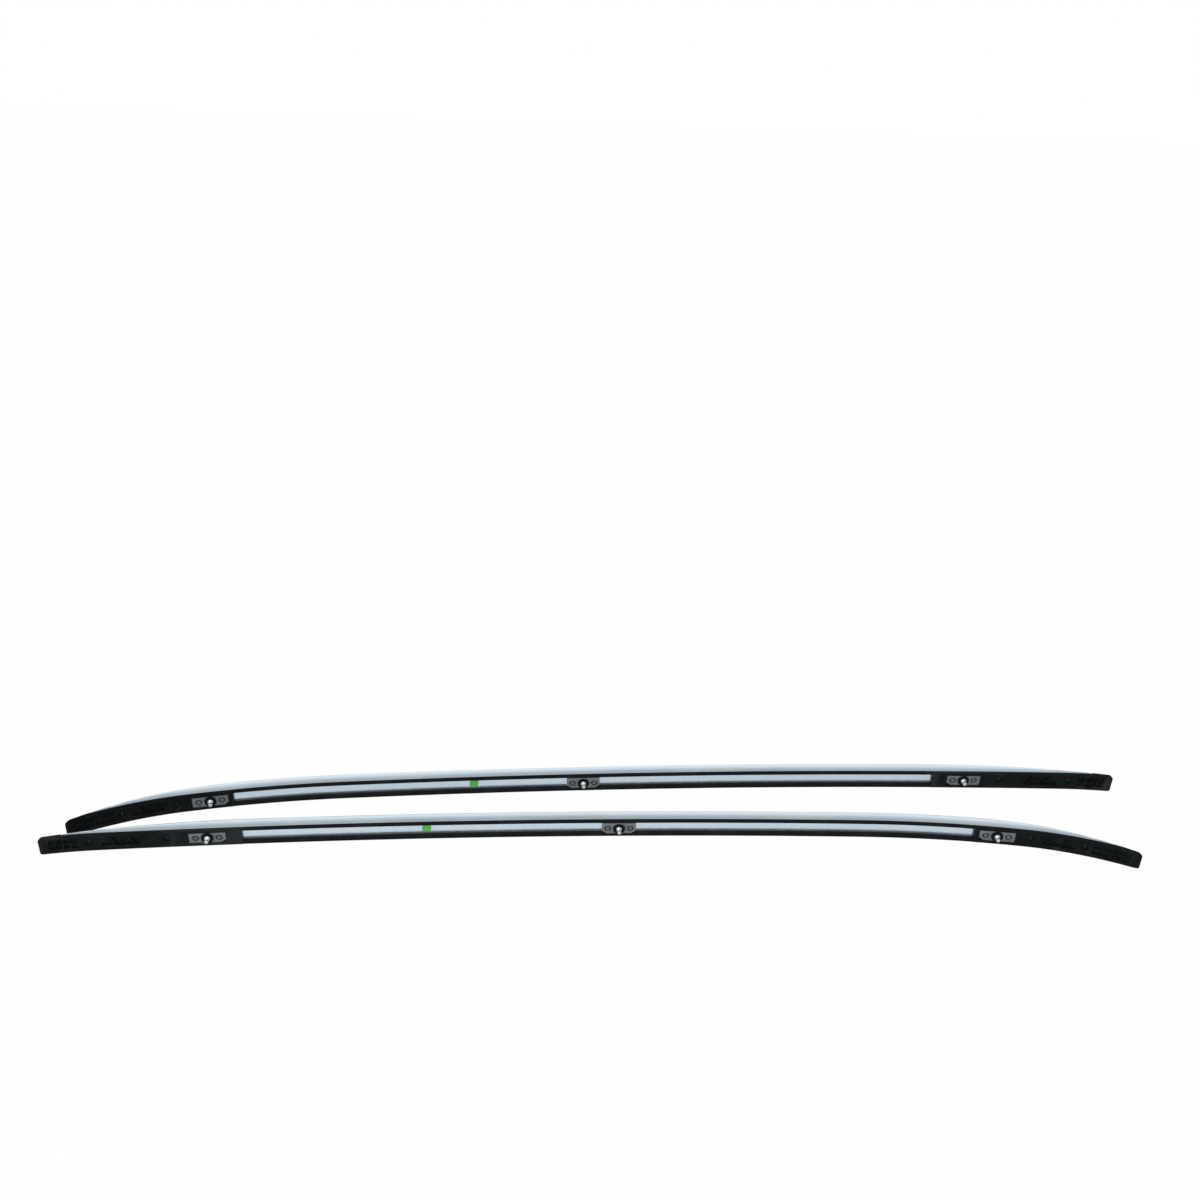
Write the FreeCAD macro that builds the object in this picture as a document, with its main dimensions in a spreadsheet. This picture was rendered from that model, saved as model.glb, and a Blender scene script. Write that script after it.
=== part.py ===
import FreeCAD, Part
import math
import os
import Sketcher

Vec = FreeCAD.Vector
Rot = FreeCAD.Rotation
Place = FreeCAD.Placement

# Lengths in millimetres. Stations along a rail run from its nearer tip.
SIZES = {
    # arch of the rail, as tangent arcs from the front tip to the rear tip
    "front_bend_radius": 618,
    "front_bend_length": 191,
    "front_shoulder_radius": 2060,
    "front_shoulder_length": 265.5,
    "main_radius": 13540,
    "main_length": 1262,
    "rear_bend_radius": 952,
    "rear_bend_length": 93.5,
    # cross section of the profile
    "rail_height": 28,
    "barrel_half_width": 19,
    "barrel_level": 15.9,
    "barrel_radius": 61,
    "barrel_joint_level": 7,
    "crown_radius": 40,
    "shoulder_radius": 11,
    "shoulder_overhang": 0.2,
    "skirt_level": 2.4,
    "wall": 2.5,
    "floor_level": 6,
    "floor_thickness": 3.5,
    "channel_half_width": 15,
    # taper of the crown towards both tips
    "front_taper_start": 300,
    "front_taper_end": 120,
    "front_taper_radius": 1714,
    "rear_taper_start": 330,
    "rear_taper_end": 133,
    "rear_taper_radius": 2250,
    "hollow_start": 100,
    "hollow_half_width": 14.5,
    "hollow_roof_half_width": 9.5,
    "hollow_roof_depth": 5,
    "hollow_corner_depth": 12,
    "nose_length": 36,
    "nose_outer_corner_radius": 9,
    "nose_inner_corner_radius": 4,
    # fits
    "seat_clearance": 0.1,
    "end_clearance": 0.15,
    "screw_clearance": 0.2,
    "stud_clearance": 0.02,
    "cut_margin": 1,
    # feet
    "front_foot_length": 270,
    "rear_foot_length": 321,
    "foot_pocket_depth": 3.6,
    "grid_pocket_depth": 2.6,
    "nose_overlap": 6,
    "foot_rib": 1.5,
    "truss_half_width": 9.5,
    "grid_half_width": 11,
    "front_grid_start": 14,
    "front_grid_end": 78,
    "front_truss_start": 103,
    "front_truss_end": 165,
    "rear_grid_start": 14,
    "rear_grid_end": 60,
    "rear_truss_start": 94,
    "rear_truss_end": 168,
    # seal strips
    "seal_inner_edge": 10.6,
    "seal_bevel": 0.8,
    # brackets, their studs, rings and screws
    "bracket_length": 60,
    "bracket_width": 21,
    "bracket_face_level": 0.8,
    "bracket_back_level": 5.7,
    "bracket_edge": 0.5,
    "bracket_inboard_offset": 2,
    "middle_bracket_length": 57,
    "corner_clip_along": 8,
    "corner_clip_across": 6,
    "front_bracket_station": 231.4,
    "middle_bracket_station": 869.3,
    "rear_bracket_station": 265,
    "stud_shank_radius": 4.6,
    "stud_radius": 4,
    "stud_thread_end": 7,
    "stud_groove_radius": 3,
    "stud_groove_length": 0.8,
    "stud_pilot_radius": 3.2,
    "stud_pilot_length": 3.2,
    "stud_chamfer": 0.8,
    "ring_radius": 10,
    "ring_height": 1.8,
    "ring_edge": 0.6,
    "screw_spacing": 38,
    "screw_head_radius": 4.8,
    "screw_head_height": 2.4,
    "screw_recess_radius": 5.6,
    "screw_recess_depth": 2.8,
    "screw_radius": 3,
    "screw_end_level": 12,
    # screws that hold the feet
    "front_foot_screw_near_tip": 89,
    "front_foot_screw_far_tip": 177,
    "rear_foot_screw_near_tip": 77,
    "rear_foot_screw_far_tip": 201,
    "foot_screw_head_radius": 3.8,
    "foot_screw_head_height": 1.8,
    "foot_counterbore_radius": 5,
    "foot_counterbore_depth": 3,
    "foot_screw_radius": 2,
    "foot_screw_end_level": 8.4,
    # how the two rails lie beside each other
    "right_rail_x": 442.25,
    "right_rail_y": -30.1,
    "right_rail_yaw": 1.57,
    "left_rail_x": -443.75,
    "left_rail_y": 26.9,
    "left_rail_yaw": 6.79,
}

doc = FreeCAD.newDocument("roof_rails")
sheet = doc.addObject("Spreadsheet::Sheet", "dims")
for row, (alias, number) in enumerate(SIZES.items(), start=1):
    sheet.set(f"A{row}", alias)
    sheet.set(f"B{row}", str(number))
    sheet.setAlias(f"B{row}", alias)
doc.recompute()


class Size:
    """A number together with the sheet expression that gives it."""

    def __init__(self, value, text):
        self.value = float(value)
        self.text = text

    def join(self, other, sign, value):
        return Size(value, f"({self.text} {sign} {as_size(other).text})")

    def __add__(self, other):
        return self.join(other, "+", self.value + as_size(other).value)

    def __sub__(self, other):
        return self.join(other, "-", self.value - as_size(other).value)

    def __mul__(self, other):
        return self.join(other, "*", self.value * as_size(other).value)

    def __truediv__(self, other):
        return self.join(other, "/", self.value / as_size(other).value)

    def __neg__(self):
        return as_size(0) - self

    def root(self):
        return Size(math.sqrt(self.value), f"sqrt({self.text})")


def as_size(item):
    return item if isinstance(item, Size) else Size(item, repr(float(item)))


def cell(alias):
    return Size(sheet.get(alias), f"dims.{alias}")


def bind(item, name, size):
    setattr(item, name, size.value)
    item.setExpression(name, size.text)


# The base line of a rail in its own frame: x along the rail, y away from the roof, apex at the origin.
BASE_PIECES = [
    (sheet.get("front_bend_length"), cell("front_bend_radius")),
    (sheet.get("front_shoulder_length"), cell("front_shoulder_radius")),
    (sheet.get("main_length"), cell("main_radius")),
    (sheet.get("rear_bend_length"), cell("rear_bend_radius")),
]
FRONT_TIP = -(BASE_PIECES[0][0] + BASE_PIECES[1][0])
REAR_TIP = BASE_PIECES[2][0] + BASE_PIECES[3][0]


def follow(pieces, station, heading):
    """Tangent arcs one after another: (first station, last station, heading, centre, radius)."""
    arcs = []
    point = Vec(0, 0, 0)
    for length, radius in pieces:
        centre = point + Vec(math.sin(heading), -math.cos(heading), 0) * radius.value
        arcs.append((station, station + length, heading, centre, radius))
        heading -= length / radius.value
        point = centre + Vec(-math.sin(heading), math.cos(heading), 0) * radius.value
        station += length
    return arcs


def along(arcs, station):
    """Point and heading at a station; the end arcs carry on past the tips."""
    found = arcs[-1]
    for arc in reversed(arcs):
        if station <= arc[1]:
            found = arc
    first, last, heading, centre, radius = found
    heading -= (station - first) / radius.value
    return centre + Vec(-math.sin(heading), math.cos(heading), 0) * radius.value, heading


def moved(arcs, offset):
    return [(first, last, heading, centre + offset, radius) for first, last, heading, centre, radius in arcs]


def clipped(arcs, start, stop):
    """The part of a chain of arcs between two stations."""
    kept = []
    for number, (first, last, heading, centre, radius) in enumerate(arcs):
        low = start if number == 0 else max(first, start)
        high = stop if number == len(arcs) - 1 else min(last, stop)
        if high - low > 1e-6:
            kept.append((low, high, heading - (low - first) / radius.value, centre, radius))
    return kept


tip_heading = sum(length / radius.value for length, radius in BASE_PIECES[:2])
BASE = follow(BASE_PIECES, FRONT_TIP, tip_heading)
BASE = moved(BASE, -along(BASE, 0)[0])


def crown_line():
    """Line of the crown's ridge, running out past both tips."""
    front_start = FRONT_TIP + sheet.get("front_taper_start")
    front_end = FRONT_TIP + sheet.get("front_taper_end")
    rear_start = REAR_TIP - sheet.get("rear_taper_start")
    rear_end = REAR_TIP - sheet.get("rear_taper_end")
    overrun = sheet.get("nose_length")
    height = cell("rail_height")
    breaks = [front_end, front_start, rear_start, rear_end]
    breaks += [arc[0] for arc in BASE[1:]]
    breaks = [FRONT_TIP - overrun] + sorted(breaks) + [REAR_TIP + overrun]
    pieces = []
    before = 0
    for low, high in zip(breaks, breaks[1:]):
        middle = (low + high) / 2
        radius = clipped(BASE, middle, middle + 1e-3)[0][4]
        ridge = radius + height
        length = (high - low) * ridge.value / radius.value
        extra = None
        if front_end < middle < front_start:
            extra = cell("front_taper_radius")
        if rear_start < middle < rear_end:
            extra = cell("rear_taper_radius")
        if extra:
            ridge = ridge * extra / (ridge + extra)
        pieces.append((length, ridge))
        before += length if high <= front_start else 0
    point, heading = along(BASE, front_start)
    turned = follow(pieces, -before, 0)
    heading_at_start = heading - along(turned, 0)[1]
    arcs = follow(pieces, -before, heading_at_start)
    ridge_point = point + Vec(-math.sin(heading), math.cos(heading), 0) * height.value
    return moved(arcs, ridge_point - along(arcs, 0)[0])


def new_body(name):
    return doc.addObject("PartDesign::Body", name)


def new_sketch(body, name, role, offset=Place()):
    sketch = body.newObject("Sketcher::SketchObject", name)
    plane = next(item for item in body.Origin.OriginFeatures if item.Role == role)
    sketch.AttachmentSupport = (plane, "")
    sketch.MapMode = "FlatFace"
    sketch.AttachmentOffset = offset
    return sketch


def drive(sketch, kind, picks, size):
    """A sketch dimension that follows the sheet."""
    size = as_size(size)
    number = sketch.addConstraint(Sketcher.Constraint(kind, *picks, size.value))
    if "dims." in size.text:
        sketch.setExpression(f"Constraints[{number}]", size.text)


def draw_outline(sketch, corners, arcs=()):
    """Closed outline with driven corners; arcs maps an edge number to (radius, side it bulges to)."""
    arcs = dict(arcs)
    ends = []
    for number, corner in enumerate(corners):
        following = corners[(number + 1) % len(corners)]
        begin = Vec(as_size(corner[0]).value, as_size(corner[1]).value, 0)
        finish = Vec(as_size(following[0]).value, as_size(following[1]).value, 0)
        if number not in arcs:
            sketch.addGeometry(Part.LineSegment(begin, finish))
            ends.append((1, 2))
            continue
        radius, side = arcs[number]
        span = finish - begin
        rise = math.sqrt(radius.value ** 2 - span.Length ** 2 / 4)
        left = Vec(-span.y, span.x, 0).normalize()
        centre = (begin + finish) / 2 - left * side * rise
        angles = [math.atan2(end.y - centre.y, end.x - centre.x) for end in (begin, finish)]
        if side > 0:
            angles.reverse()
        circle = Part.Circle(centre, Vec(0, 0, 1), radius.value)
        sketch.addGeometry(Part.ArcOfCircle(circle, *angles))
        ends.append((2, 1) if side > 0 else (1, 2))
    for number in range(len(corners)):
        following = (number + 1) % len(corners)
        joint = (number, ends[number][1], following, ends[following][0])
        sketch.addConstraint(Sketcher.Constraint("Coincident", *joint))
    for number, (across, upward) in enumerate(corners):
        drive(sketch, "DistanceX", (-1, 1, number, ends[number][0]), across)
        drive(sketch, "DistanceY", (-1, 1, number, ends[number][0]), upward)
    for number, (radius, side) in arcs.items():
        drive(sketch, "Radius", (number,), radius)


def draw_circles(sketch, circles):
    for number, (across, upward, radius) in enumerate(circles):
        centre = Vec(as_size(across).value, as_size(upward).value, 0)
        sketch.addGeometry(Part.Circle(centre, Vec(0, 0, 1), radius.value))
        drive(sketch, "DistanceX", (-1, 1, number, 3), across)
        drive(sketch, "DistanceY", (-1, 1, number, 3), upward)
        drive(sketch, "Radius", (number,), radius)


def draw_path(sketch, arcs, flip):
    """Tangent arcs in the plan of the rail; flip is -1 where the front points to +x."""
    placed = []
    for first, last, heading, centre, radius in arcs:
        turned = heading - (last - first) / radius.value
        angles = sorted(math.pi / 2 + flip * angle for angle in (heading, turned))
        placed.append((Vec(centre.x * flip, centre.y, 0), angles, radius))
    placed.sort(key=lambda item: -item[1][0])
    for number, (centre, angles, radius) in enumerate(placed):
        sketch.addGeometry(Part.ArcOfCircle(Part.Circle(centre, Vec(0, 0, 1), radius.value), *angles))
        drive(sketch, "Radius", (number,), radius)
        end = centre + Vec(math.cos(angles[0]), math.sin(angles[0]), 0) * radius.value
        drive(sketch, "DistanceX", (-1, 1, number, 1), end.x)
        if number:
            sketch.addConstraint(Sketcher.Constraint("Tangent", number - 1, 1, number, 2))
        else:
            begin = centre + Vec(math.cos(angles[1]), math.sin(angles[1]), 0) * radius.value
            drive(sketch, "DistanceX", (-1, 1, number, 2), begin.x)
            drive(sketch, "DistanceY", (-1, 1, number, 2), begin.y)
            drive(sketch, "DistanceY", (-1, 1, number, 1), end.y)


def section_offset(arcs, flip):
    """Where a section sketch stands at the -x end of a path: its x away from the roof, its y up."""
    first, last, heading, centre, radius = arcs[0 if flip > 0 else -1]
    if flip < 0:
        heading -= (last - first) / radius.value
    point = centre + Vec(-math.sin(heading), math.cos(heading), 0) * radius.value
    return Place(Vec(point.y, 0, point.x * flip), Rot(Vec(0, 1, 0), math.degrees(heading * flip)))


def guides(body, name, arcs, flip, corners, curved):
    """Path and section sketches of a sweep."""
    path = new_sketch(body, name + "_path", "XY_Plane")
    draw_path(path, arcs, flip)
    section = new_sketch(body, name + "_section", "YZ_Plane", section_offset(arcs, flip))
    draw_outline(section, corners, curved)
    doc.recompute()
    return path, section


def sweep(body, name, arcs, flip, corners, curved=()):
    """Carry a section along a chain of arcs inside a body."""
    path, section = guides(body, name, arcs, flip, corners, curved)
    pipe = body.newObject("PartDesign::AdditivePipe", name)
    pipe.Profile = section
    pipe.Spine = (path, [f"Edge{number + 1}" for number in range(len(arcs))])
    pipe.Mode = "Frenet"


def swept_solid(name, arcs, flip, corners, curved=()):
    """The same as one exact solid, for the long pieces that are cut from one another."""
    path, section = guides(new_body(name + "_guides"), name, arcs, flip, corners, curved)
    solid = doc.addObject("Part::Feature", name)
    solid.Shape = path.Shape.Wires[0].makePipe(Part.Face(section.Shape.Wires[0]))
    return solid


def half_width(level):
    """Half width of the barrel-shaped sides at a level above the roof."""
    radius = cell("barrel_radius")
    rise = cell("barrel_level") - level
    return cell("barrel_half_width") - radius + (radius * radius - rise * rise).root()


def barrel_section(low, high):
    """Section between two levels with barrel-shaped sides."""
    centre = cell("barrel_half_width")
    wide_low = half_width(low)
    wide_high = half_width(high)
    joint = cell("barrel_joint_level")
    wide_joint = half_width(joint)
    corners = [
        (low, centre - wide_low),
        (joint, centre - wide_joint),
        (high, centre - wide_high),
        (high, centre + wide_high),
        (joint, centre + wide_joint),
        (low, centre + wide_low),
    ]
    radius = cell("barrel_radius")
    return corners, {number: (radius, -1) for number in (0, 1, 3, 4)}


def crown_section():
    """Everything outside the rounded crown; the section's origin is on the ridge."""
    centre = cell("barrel_half_width")
    crown = cell("crown_radius")
    shoulder = cell("shoulder_radius")
    half = centre + cell("shoulder_overhang")
    reach = crown - shoulder
    aside = half - shoulder
    down = (reach * reach - aside * aside).root()
    foot = down - crown
    joint_level = down * crown / reach - crown
    joint_half = aside * crown / reach
    outside = centre + shoulder
    above = cell("rail_height") + shoulder
    corners = [
        (foot, centre - half),
        (joint_level, centre - joint_half),
        (as_size(0), centre),
        (joint_level, centre + joint_half),
        (foot, centre + half),
        (foot, centre + outside),
        (above, centre + outside),
        (above, centre - outside),
        (foot, centre - outside),
    ]
    return corners, {0: (shoulder, -1), 1: (crown, -1), 2: (crown, -1), 3: (shoulder, -1)}


CROWNED = []


def tapered_bar(name, flip, low, channel, start, stop, crown):
    """Barrel-sided bar between two stations with the rounded, tapering crown cut on it."""
    high = cell("rail_height") + cell("wall") * 2
    corners, curved = barrel_section(low, high)
    bar = swept_solid(name + "_bar", clipped(BASE, start, stop), flip, corners + channel, curved)
    above = swept_solid(name + "_crown", crown, flip, *crown_section())
    CROWNED.append(cut(name, bar, above))
    return CROWNED[-1]


def at_station(station, flip):
    """Frame on the base line: x to +x along the rail, y away from the roof, z up through its middle."""
    point, heading = along(BASE, station)
    centre = Vec(point.x * flip, point.y, sheet.get("barrel_half_width"))
    return Place(centre, Rot(Vec(0, 0, 1), math.degrees(heading * flip)))


def turned_body(name, corners):
    """Round piece about the y axis from its half outline (radius, level)."""
    body = new_body(name)
    sketch = new_sketch(body, name + "_outline", "XY_Plane")
    draw_outline(sketch, corners)
    doc.recompute()
    spin = body.newObject("PartDesign::Revolution", name + "_turned")
    spin.Profile = sketch
    spin.ReferenceAxis = (sketch, ["V_Axis"])
    spin.Angle = 360
    return body


def tool_cylinder(name, radius, low, high, place):
    tool = doc.addObject("Part::Cylinder", name)
    bind(tool, "Radius", radius)
    bind(tool, "Height", high - low)
    tool.Placement = place * Place(Vec(0, low.value, 0), Rot(Vec(1, 0, 0), -90))
    return tool


def tool_box(name, along_x, across_z, depth, place):
    """Box centred on the frame's y axis that reaches from just outside the roof side to a depth."""
    tool = doc.addObject("Part::Box", name)
    bind(tool, "Length", along_x)
    margin = cell("cut_margin")
    bind(tool, "Width", depth + margin)
    bind(tool, "Height", across_z)
    tool.Placement = place * Place(Vec(-along_x.value / 2, -margin.value, -across_z.value / 2), Rot())
    return tool


def tool_wedge(name, length, width, depth, up, place):
    """Three-sided pocket between two slanting ribs, its point at the top or at the bottom."""
    tool = doc.addObject("Part::Wedge", name)
    tip = cell("foot_rib") / 4
    bind(tool, "Xmin", -length / 2)
    bind(tool, "Xmax", length / 2)
    bind(tool, "X2min", -tip)
    bind(tool, "X2max", tip)
    bind(tool, "Ymin", -width / 2)
    bind(tool, "Ymax", width / 2)
    bind(tool, "Zmin", -depth)
    bind(tool, "Z2min", -depth)
    bind(tool, "Zmax", cell("cut_margin"))
    bind(tool, "Z2max", cell("cut_margin"))
    tilt = Rot(Vec(1, 0, 0), 90)
    if not up:
        tilt = Rot(Vec(0, 1, 0), 180) * tilt
    tool.Placement = place * Place(Vec(), tilt)
    return tool


def joined(kind, name, shapes):
    item = doc.addObject("Part::" + kind, name)
    if kind == "Compound":
        item.Links = shapes
    else:
        item.Shapes = shapes
    return item


def cut(name, base, tool):
    item = doc.addObject("Part::Cut", name)
    item.Refine = False
    item.Base = base
    item.Tool = tool
    return item


NODES = []


def hand_over(item, label, place):
    item.Label = label
    item.Placement = place
    NODES.append(item)


class Rail:
    """One rail of the pair; the other one is its mirror image."""

    def __init__(self, side, flip):
        self.side = side
        self.flip = flip
        turn = Rot(Vec(0, 0, 1), sheet.get(side + "_rail_yaw"))
        self.pose = Place(Vec(sheet.get(side + "_rail_x"), sheet.get(side + "_rail_y"), 0), turn)
        self.drills = []

    def name(self, piece):
        return f"{self.side}_{piece}"

    def place(self, station):
        return at_station(station, self.flip)

    def end_station(self, end, distance):
        """Station at a distance from the front tip or from the rear tip."""
        return FRONT_TIP + distance if end == "front" else REAR_TIP - distance

    def profile(self):
        gap = sheet.get("nose_length") + sheet.get("end_clearance")
        start = FRONT_TIP + gap
        stop = REAR_TIP - gap
        name = self.name("profile")
        low = cell("skirt_level")
        half = cell("channel_half_width")
        centre = cell("barrel_half_width")
        channel = [
            (low, centre + half),
            (cell("floor_level"), centre + half),
            (cell("floor_level"), centre - half),
            (low, centre - half),
        ]
        bar = tapered_bar(name + "_outside", self.flip, low, channel, start, stop, crown_line())
        tube = cut(name + "_tube", bar, self.hollow(name + "_hollow"))
        drills = joined("Compound", name + "_drills", self.drills)
        hand_over(cut(name, tube, drills), name, self.pose)

    def hollow(self, name):
        """Chamber inside the profile; its roof follows the tapering crown."""
        start = FRONT_TIP + sheet.get("hollow_start")
        stop = REAR_TIP - sheet.get("hollow_start")
        centre = cell("barrel_half_width")
        half = cell("hollow_half_width")
        low = cell("floor_level") + cell("floor_thickness")
        high = cell("rail_height")
        box = [
            (low, centre - half),
            (high, centre - half),
            (high, centre + half),
            (low, centre + half),
        ]
        chamber = swept_solid(name + "_box", clipped(BASE, start, stop), self.flip, box)
        top_half = cell("hollow_roof_half_width")
        roof = -cell("hollow_roof_depth")
        corner = -cell("hollow_corner_depth")
        beside = half + cell("shoulder_overhang")
        outside = half + cell("wall")
        above = [
            (corner, centre - beside),
            (roof, centre - top_half),
            (roof, centre + top_half),
            (corner, centre + beside),
            (corner, centre + outside),
            (high, centre + outside),
            (high, centre - outside),
            (corner, centre - outside),
        ]
        return cut(name, chamber, swept_solid(name + "_roof", crown_line(), self.flip, above))

    def seal(self, which, sign):
        name = self.name(which + "_seal")
        clearance = cell("seat_clearance")
        centre = cell("barrel_half_width")
        inner = cell("seal_inner_edge")
        step = cell("skirt_level") - clearance
        leg = cell("channel_half_width") - clearance
        top = cell("floor_level") - clearance
        bevel = cell("seal_bevel")
        none = as_size(0)
        shape = [
            (bevel, inner),
            (top, inner),
            (top, leg),
            (step, leg),
            (step, half_width(cell("skirt_level"))),
            (none, half_width(cell("skirt_level"))),
            (none, inner + bevel),
        ]
        corners = [(level, centre + half * sign) for level, half in shape]
        start = FRONT_TIP + sheet.get("front_foot_length") + sheet.get("end_clearance")
        stop = REAR_TIP - sheet.get("rear_foot_length") - sheet.get("end_clearance")
        body = new_body(name + "_strip")
        sweep(body, name + "_sweep", clipped(BASE, start, stop), self.flip, corners)
        notch = self.window(name + "_notch", "middle_bracket_length", "middle")
        hand_over(cut(name, body, notch), name, self.pose)

    def foot(self, end):
        name = self.name(end + "_foot")
        clearance = cell("seat_clearance")
        none = as_size(0)
        nose = sheet.get("nose_length")
        length = sheet.get(end + "_foot_length")
        tip = self.end_station(end, 0)
        nose_ends = sorted([tip, self.end_station(end, nose)])
        crown = crown_line()[:1] if end == "front" else crown_line()[-1:]
        centre = cell("barrel_half_width")
        level = cell("skirt_level")
        skirt = [(none, centre + half_width(level)), (none, centre - half_width(level))]
        nose_bar = tapered_bar(name + "_nose_bar", self.flip, level, skirt, *nose_ends, crown)
        nose_body = cut(name + "_nose", nose_bar, self.tip_corners(name + "_corners", tip, end))
        step = cell("skirt_level") - clearance
        leg = cell("channel_half_width") - clearance
        top = cell("floor_level") - clearance
        right_half = [
            (none, half_width(cell("skirt_level"))),
            (step, half_width(cell("skirt_level"))),
            (step, leg),
            (top, leg),
        ]
        corners = [(level, centre - half) for level, half in right_half]
        corners += [(level, centre + half) for level, half in reversed(right_half)]
        overlap = sheet.get("nose_overlap")
        span = sorted([self.end_station(end, nose - overlap), self.end_station(end, length)])
        filler = swept_solid(name + "_filler", clipped(BASE, *span), self.flip, corners)
        blank = joined("MultiFuse", name + "_blank", [nose_body, filler])
        tools = joined("MultiFuse", name + "_tools", self.foot_tools(end))
        hand_over(cut(name, blank, tools), name, self.pose)

    def tip_corners(self, name, tip, end):
        """What is cut away to round the corners of the nose as seen from the roof side."""
        outer = cell("nose_outer_corner_radius")
        inner = cell("nose_inner_corner_radius")
        half = cell("barrel_half_width")
        outward = -self.flip if end == "front" else self.flip
        frame = self.place(tip)
        spot = frame.Base
        turn = Rot(Vec(0, 1, 0), -frame.Rotation.getYawPitchRoll()[0])
        spot_place = Place(Vec(spot.x, 0, -spot.y), turn)
        sketch = new_sketch(new_body(name + "_guides"), name + "_outline", "XZ_Plane", spot_place)
        margin = cell("shoulder_radius")
        wide = half_width(cell("skirt_level"))
        corners = [
            (-inner * outward, half - wide),
            (as_size(0), half - wide + inner),
            (as_size(0), half + wide - outer),
            (-outer * outward, half + wide),
            (-outer * outward, half + wide + margin),
            (margin * outward, half + wide + margin),
            (margin * outward, half - wide - margin),
            (-inner * outward, half - wide - margin),
        ]
        draw_outline(sketch, corners, {0: (inner, -outward), 2: (outer, -outward)})
        corners_tool = doc.addObject("Part::Extrusion", name)
        corners_tool.Base = sketch
        corners_tool.DirMode = "Normal"
        corners_tool.Solid = True
        corners_tool.Symmetric = True
        bind(corners_tool, "LengthFwd", cell("rail_height") * 3)
        return corners_tool

    def window(self, name, length_alias, which):
        """Opening that a bracket sits in."""
        length = cell(length_alias) + cell("seat_clearance") * 4
        width = cell("bracket_width") + cell("seat_clearance") * 2
        return tool_box(name, length, width, cell("floor_level"), self.bracket_place(which))

    def foot_tools(self, end):
        """Everything that is cut out of a foot."""
        name = self.name(end + "_foot")
        rib = cell("foot_rib")
        outside = -cell("cut_margin")
        tools = [self.window(name + "_window", "bracket_length", end)]
        for which in ("near", "far"):
            spot = self.place(self.end_station(end, sheet.get(f"{end}_foot_screw_{which}_tip")))
            label = f"{name}_{which}_screw"
            bore = cell("foot_screw_radius") + cell("screw_clearance")
            floor = cell("foot_counterbore_depth")
            tools.append(tool_cylinder(label + "_hole", bore, outside, cell("floor_level"), spot))
            tools.append(tool_cylinder(label + "_seat", cell("foot_counterbore_radius"), outside, floor, spot))
        start = sheet.get(end + "_truss_start")
        stop = sheet.get(end + "_truss_end")
        points_up = (True, False, True, False)
        pitch = (stop - start) / (len(points_up) + 1)
        width = cell("truss_half_width") * 2
        length = as_size(2 * pitch) - rib * 2
        depth = cell("foot_pocket_depth")
        for number, up in enumerate(points_up, start=1):
            spot = self.place(self.end_station(end, start + pitch * number))
            tools.append(tool_wedge(f"{name}_truss_{number}", length, width, depth, up, spot))
        start = sheet.get(end + "_grid_start")
        stop = sheet.get(end + "_grid_end")
        middles = (0.5, 1.5, 2.5, 3.5)
        pitch = (stop - start) / len(middles)
        half = cell("grid_half_width")
        depth = cell("grid_pocket_depth")
        for number, middle in enumerate(middles, start=1):
            spot = self.place(self.end_station(end, start + pitch * middle))
            for side in (-1, 1):
                label = f"{name}_grid_{number}_{'upper' if side > 0 else 'lower'}"
                shift = Place(Vec(0, 0, side * half.value / 2), Rot())
                cell_length = as_size(pitch) - rib
                tools.append(tool_box(label, cell_length, half - rib, depth, spot * shift))
        return tools

    def bracket(self, which):
        name = self.name(which + "_bracket")
        body = new_body(name)
        middle = which == "middle"
        length = cell("middle_bracket_length" if middle else "bracket_length")
        width = cell("bracket_width")
        face = cell("bracket_face_level")
        back = cell("bracket_back_level")
        clip_x = cell("corner_clip_along")
        clip_z = cell("corner_clip_across")
        inward = {"front": self.flip, "rear": -self.flip, "middle": 0}[which]
        corners = [(-length / 2, width / 2), (length / 2, width / 2)]
        for side in (1, -1):
            clips = [(length / 2 * side, -width / 2)]
            if middle or side == inward:
                clips = [(length / 2 * side, clip_z - width / 2), ((length / 2 - clip_x) * side, -width / 2)]
            corners += clips if side > 0 else reversed(clips)
        outline = new_sketch(body, name + "_outline", "XZ_Plane", Place(Vec(0, 0, -back.value), Rot()))
        draw_outline(outline, corners)
        doc.recompute()
        pad = body.newObject("PartDesign::Pad", name + "_block")
        pad.Profile = outline
        bind(pad, "Length", back - face)
        doc.recompute()
        edges = self.face_edges(pad, face.value)
        chamfer = body.newObject("PartDesign::Chamfer", name + "_edges")
        chamfer.Base = (pad, edges)
        bind(chamfer, "Size", cell("bracket_edge"))
        half = cell("screw_spacing") / 2
        clearance = cell("screw_clearance")
        screw_hole = cell("screw_radius") + clearance
        stud_hole = cell("stud_shank_radius") + cell("stud_clearance")
        none = as_size(0)
        cuts = (
            ("recess", cell("screw_recess_radius"), (-half, half), cell("screw_recess_depth")),
            ("holes", screw_hole, (-half, half), back),
            ("bore", stud_hole, (none,), back),
        )
        for label, radius, spots, depth in cuts:
            sketch = new_sketch(body, f"{name}_{label}_plan", "XZ_Plane", Place(Vec(0, 0, -face.value), Rot()))
            draw_circles(sketch, [(spot, none, radius) for spot in spots])
            doc.recompute()
            pocket = body.newObject("PartDesign::Pocket", f"{name}_{label}")
            pocket.Profile = sketch
            bind(pocket, "Length", depth)
        hand_over(body, name, self.pose * self.bracket_place(which))

    def face_edges(self, feature, level):
        """Edges of a block that lie on its roof side."""
        names = []
        for number, edge in enumerate(feature.Shape.Edges, start=1):
            if all(abs(vertex.Y - level) < 1e-6 for vertex in edge.Vertexes):
                names.append(f"Edge{number}")
        return names

    def bracket_place(self, which):
        """Frame of a bracket: on the base line, a little towards the inboard side."""
        if which == "middle":
            station = FRONT_TIP + sheet.get("middle_bracket_station")
        else:
            station = self.end_station(which, sheet.get(which + "_bracket_station"))
        return self.place(station) * Place(Vec(0, 0, -sheet.get("bracket_inboard_offset")), Rot())

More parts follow.
